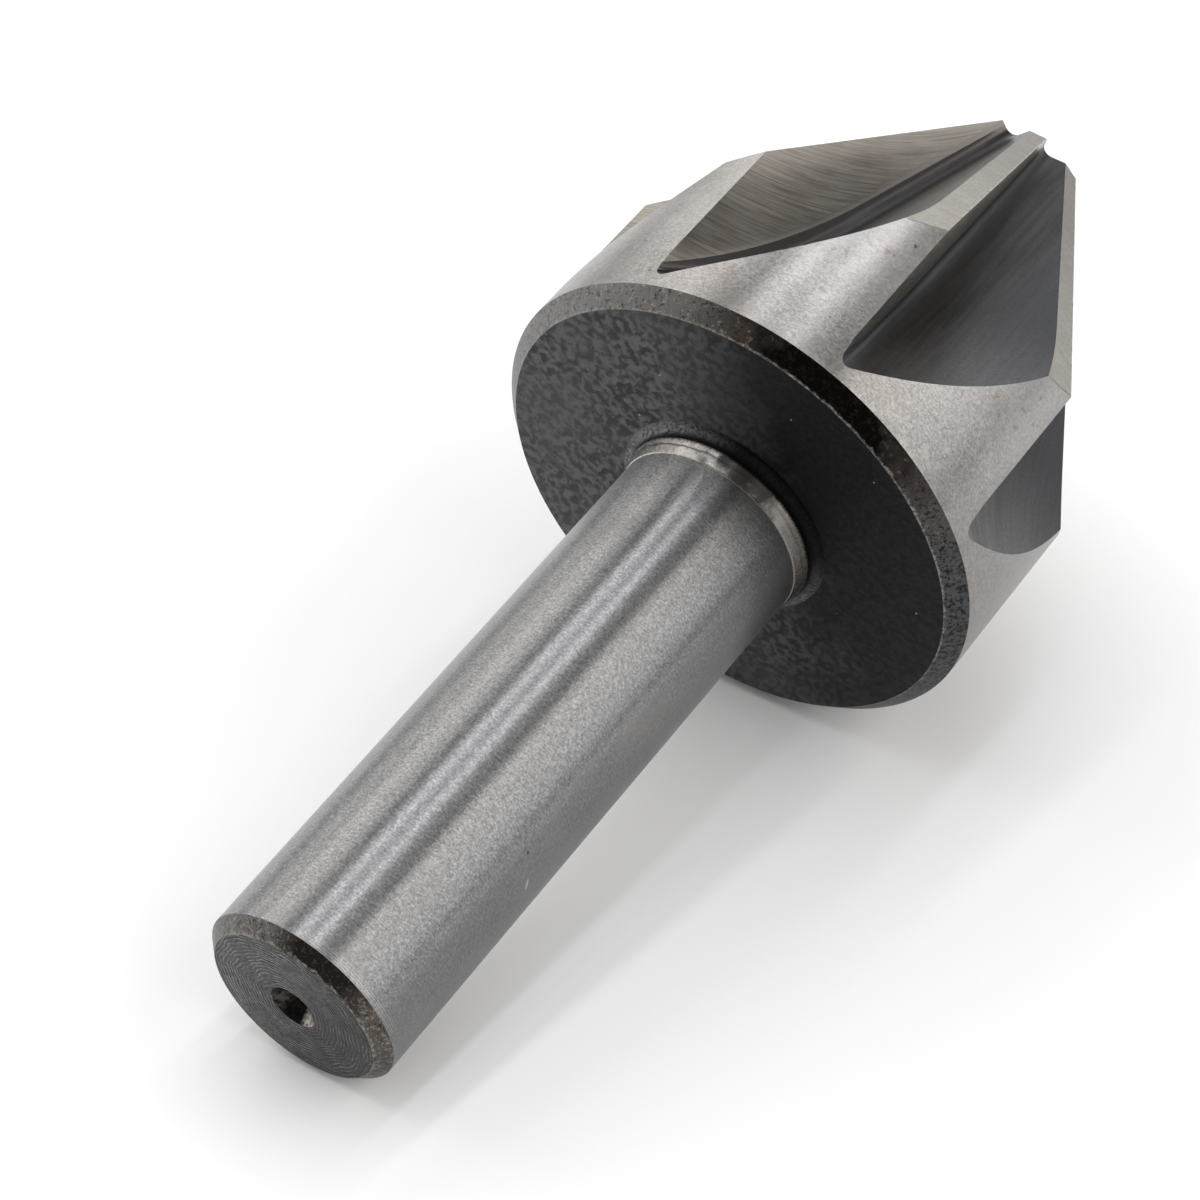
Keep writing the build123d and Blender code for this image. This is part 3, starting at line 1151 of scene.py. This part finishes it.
class MILL_OT_make_mill(Operator):
    """Makes the chamfer mill: the turned blank with its teeth cut and ground"""

    bl_idname = "mill.make_mill"
    bl_label = "Make chamfer mill"

    def execute(self, context):
        scene = context.scene
        shank, head, tooth = scene.mill_shank, scene.mill_head, scene.mill_teeth
        blank = turned_blank(shank, head)
        wheels = [
            (flute_cutter(shank, head, tooth), MILLED_FLUTE),
            (rake_wheel(shank, head, tooth), GROUND_RAKE),
            (relief_wheel(shank, head, tooth), GROUND_LAND),
        ]
        mesh = cut_all_teeth(blank, wheels, tooth.count)
        if not mesh.polygons:
            raise RuntimeError("the cuts left nothing of the blank")
        names = [m.name for m in mesh.materials]
        bm = bmesh.new()
        bm.from_mesh(mesh)
        bmesh.ops.remove_doubles(bm, verts=bm.verts[:], dist=MERGE_DISTANCE)
        store_tooth_places(bm, names, tooth.count)
        mark_edges(bm)
        bm.to_mesh(mesh)
        bm.free()
        mill = bpy.data.objects.new(MILL, mesh)
        scene.collection.objects.link(mill)
        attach(mill, "root")
        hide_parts("chamfer_mill")
        return {"FINISHED"}


class MILL_OT_make_studio(Operator):
    """Makes the floor, the lamps and the camera"""

    bl_idname = "mill.make_studio"
    bl_label = "Make studio"

    def execute(self, context):
        studio = context.scene.mill_studio
        up = Vector((1, 0, 0))
        up.rotate(Euler((0, -studio.floor_tilt, studio.floor_turn)))
        mill = bpy.data.objects[MILL]
        lowest = min(v.co.dot(up) for v in mill.data.vertices)
        make_floor(studio, up, lowest)
        make_lamps()
        make_camera(studio)
        make_room(studio)
        return {"FINISHED"}


def make_floor(studio, up, height):
    """A pale floor under the mill. It is seen through from below, so every view is clear."""
    bm = bmesh.new()
    bmesh.ops.create_grid(bm, x_segments=1, y_segments=1, size=studio.floor_size / 2)
    tilt = up.to_track_quat("Z", "Y").to_matrix().to_4x4()
    bmesh.ops.transform(bm, matrix=tilt, verts=bm.verts[:])
    bmesh.ops.translate(bm, verts=bm.verts[:], vec=up * height)
    floor = object_from(bm, "studio_floor")
    f = Finish("pale_floor")
    f.shader.inputs["Base Color"].default_value = (*studio.floor_colour, 1.0)
    f.shader.inputs["Roughness"].default_value = FLOOR_ROUGHNESS
    f.shader.inputs["Specular IOR Level"].default_value = FLOOR_SPECULAR
    see_through = f.node("ShaderNodeBsdfTransparent")
    facing = f.node("ShaderNodeNewGeometry").outputs["Backfacing"]
    both = f.node("ShaderNodeMixShader")
    f.put(both.inputs[0], facing)
    f.put(both.inputs[1], f.shader.outputs[0])
    f.put(both.inputs[2], see_through.outputs[0])
    f.put(f.tree.nodes["Material Output"].inputs["Surface"], both.outputs[0])
    floor.data.materials.append(f.material)


# The lamps stand round this place, at this distance from it, in metres.
LAMPS_MIDDLE = (0, 0, 0.03)
LAMP_DISTANCE = 0.7

# The strips beside the mill: their rise above the shank's end in degrees, their length in metres
STRIP_RISE = 22
STRIP_LENGTH = 1.0

# A square lamp lights the nose's side from higher up.
NOSE_LAMP_RISE = 65
NOSE_LAMP_SIDE = 0.4

# Each strip: its turn round the axis in degrees, its width in metres, its power in watts and
# its colour.
STRIPS = (
    ("far_left", -120, 0.28, 0.5, (1.0, 1.0, 1.0)),
    ("left_side", -97, 0.24, 0.93, (1.0, 0.99, 0.98)),
    ("left_bank", -77, 0.17, 0.99, (1.0, 0.98, 0.96)),
    ("left_fill", -63, 0.14, 0.55, (1.0, 0.99, 0.98)),
    ("upper_strip", -40, 0.06, 0.96, (0.96, 0.97, 1.0)),
    ("strip_gap", -31, 0.06, 0.16, (0.96, 0.97, 1.0)),
    ("lower_strip", -22, 0.06, 0.86, (0.96, 0.97, 1.0)),
    ("middle_fill", -10, 0.12, 0.16, (1.0, 1.0, 1.0)),
    ("right_bank", 12, 0.2, 1.06, (1.0, 0.98, 0.95)),
    ("right_middle", 27, 0.14, 0.57, (1.0, 0.98, 0.96)),
    ("right_fill", 38, 0.14, 0.56, (1.0, 0.99, 0.98)),
    ("right_side", 51, 0.17, 0.6, (0.98, 0.99, 1.0)),
    ("far_right", 65, 0.17, 0.27, (0.98, 0.99, 1.0)),
)


def make_lamp(name, turn, rise, width, length, power, colour):
    """A rectangular lamp that faces the mill, with its length along the mill's axis."""
    way = Vector((1, 0, 0))
    way.rotate(Euler((0, -math.radians(rise), math.radians(turn))))
    data = bpy.data.lights.new(name, "AREA")
    data.shape = "RECTANGLE"
    data.size = width
    data.size_y = length
    data.energy = power
    data.color = colour
    tall = (Vector((0, 0, 1)) - way * way.z).normalized()
    turned = Matrix((tall.cross(way), tall, way)).transposed().to_4x4()
    lamp = bpy.data.objects.new(name, data)
    lamp.matrix_world = Matrix.Translation(Vector(LAMPS_MIDDLE) + way * LAMP_DISTANCE) @ turned
    bpy.context.scene.collection.objects.link(lamp)


def make_lamps():
    for name, turn, width, power, colour in STRIPS:
        make_lamp(name, turn, STRIP_RISE, width, STRIP_LENGTH, power, colour)
    side = NOSE_LAMP_SIDE
    make_lamp("nose_side", -120, NOSE_LAMP_RISE, side, side, 0.55, (1.0, 1.0, 1.0))


def make_camera(studio):
    data = bpy.data.cameras.new("camera")
    data.sensor_width = SENSOR_WIDTH
    data.lens = studio.focal_length
    data.clip_start = NEAREST_SEEN
    camera = bpy.data.objects.new("camera", data)
    camera.location = studio.camera_place
    camera.rotation_euler = studio.camera_turn
    bpy.context.scene.collection.objects.link(camera)
    bpy.context.scene.camera = camera


# The room fades from its pale to its dim side as a view's direction rises between these shares
# of the mill's axis.
ROOM_FADE = (0.0, 0.3)


def make_room(studio):
    """A world that is pale on the shank's side and dim on the nose's side."""
    world = bpy.data.worlds.new("room")
    world.use_nodes = True
    tree = world.node_tree
    way = tree.nodes.new("ShaderNodeTexCoord").outputs["Generated"]
    height = tree.nodes.new("ShaderNodeSeparateXYZ")
    tree.links.new(way, height.inputs[0])
    fade = tree.nodes.new("ShaderNodeMapRange")
    fade.interpolation_type = "SMOOTHSTEP"
    tree.links.new(height.outputs["Z"], fade.inputs["Value"])
    values = (*ROOM_FADE, studio.pale_side, studio.dim_side)
    for socket, value in zip(fade.inputs[1:], values):
        socket.default_value = value
    tree.links.new(fade.outputs["Result"], tree.nodes["Background"].inputs["Strength"])
    tree.nodes["Background"].inputs["Color"].default_value = (1, 1, 1, 1)
    bpy.context.scene.world = world
    bpy.context.scene.view_settings.view_transform = "Standard"


class MILL_PT_sidebar(Panel):
    """Lists the steps that make the mill and its studio"""

    bl_label = "Chamfer Mill"
    bl_idname = "MILL_PT_sidebar"
    bl_space_type = "VIEW_3D"
    bl_region_type = "UI"
    bl_category = "Chamfer Mill"

    def draw(self, context):
        layout = self.layout
        for settings in SETTINGS:
            group = getattr(context.scene, settings)
            box = layout.box()
            for key in group.__annotations__:
                box.prop(group, key)
        layout.operator(MILL_OT_make_mill.bl_idname)
        layout.operator(MILL_OT_make_studio.bl_idname)


SETTINGS = {
    "mill_shank": ShankSizes,
    "mill_head": HeadSizes,
    "mill_teeth": ToothSizes,
    "mill_colours": FinishColours,
    "mill_studio": StudioSettings,
}
CLASSES = (*SETTINGS.values(), MILL_OT_make_mill, MILL_OT_make_studio, MILL_PT_sidebar)


def register():
    for cls in CLASSES:
        bpy.utils.register_class(cls)
    for name, cls in SETTINGS.items():
        setattr(bpy.types.Scene, name, PointerProperty(type=cls))


def unregister():
    for name in SETTINGS:
        delattr(bpy.types.Scene, name)
    for cls in reversed(CLASSES):
        bpy.utils.unregister_class(cls)


def main():
    register()
    bpy.ops.mill.make_mill()
    bpy.ops.mill.make_studio()


if __name__ == "__main__":
    main()
